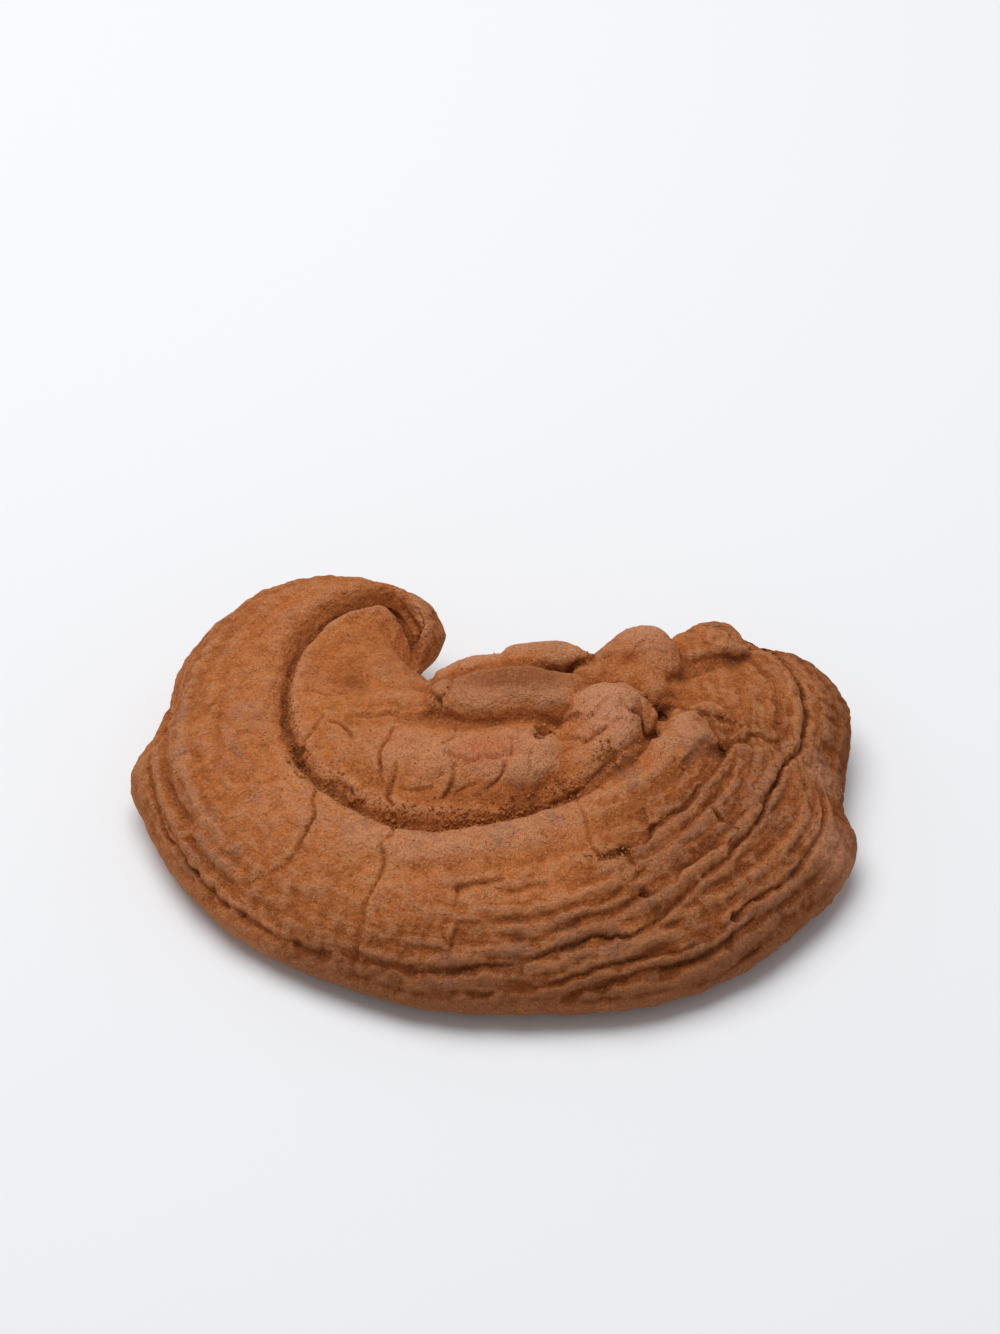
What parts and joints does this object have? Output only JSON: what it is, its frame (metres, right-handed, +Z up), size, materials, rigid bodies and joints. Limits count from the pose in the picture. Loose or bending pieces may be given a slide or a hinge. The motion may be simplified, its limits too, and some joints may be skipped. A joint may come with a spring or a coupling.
{
  "type": "bracket fungus",
  "caption": "Dried bracket fungus, a plump kidney-shaped body with growth furrows, a curled lobe, lumpy centre and a flat cut where it grew on wood.",
  "frame": {"origin": "on the surface that the body lies on, under the middle of its bounding box", "axes": "+X along the longer way across, towards the broad right lobe; +Y to the back, where it grew on the wood; +Z up, out of the ringed upper side"},
  "size_m": [0.1838, 0.1358, 0.04],
  "materials": {
    "spore_dusted_cork": "matt rust-brown spore powder over a corky crust"
  },
  "bodies": {
    "root": {"fruiting_body": "spore_dusted_cork"}
  },
  "joints": []
}
